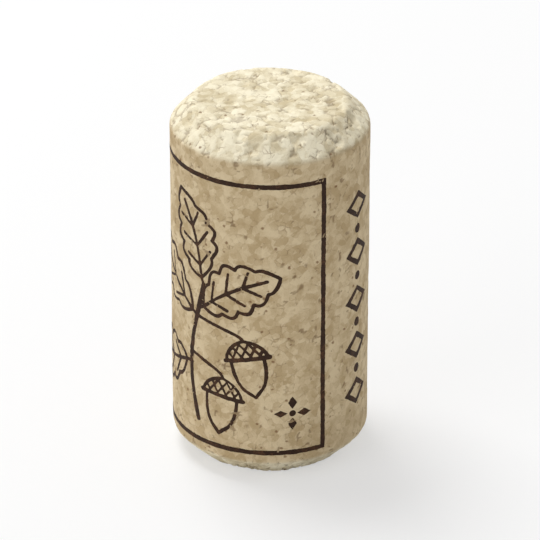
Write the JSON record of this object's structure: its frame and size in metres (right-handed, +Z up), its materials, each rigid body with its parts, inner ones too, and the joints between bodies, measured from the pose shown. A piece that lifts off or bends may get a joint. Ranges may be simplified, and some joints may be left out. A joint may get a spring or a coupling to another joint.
{
  "type": "wine cork",
  "caption": "Straight agglomerated cork stopper with chamfered flat ends and a dark line print on its side; seals a wine bottle's neck.",
  "frame": {"origin": "middle of the flat end that the cork stands on", "axes": "+Z up along the cork's axis; -Y towards the side where the printed frame's upright line shows right of the middle"},
  "size_m": [0.023, 0.023, 0.044],
  "materials": {
    "cork": "ground agglomerated cork granules, dry and matt, paler on the end faces",
    "ink": "dark brown ink soaked into the granules, matt"
  },
  "bodies": {
    "root": {"cork_body": "cork", "printed_frame": "ink", "printed_oak_sprig": "ink", "printed_barrel": "ink", "printed_ornament_row": "ink", "printed_corner_mark": "ink"}
  },
  "joints": []
}
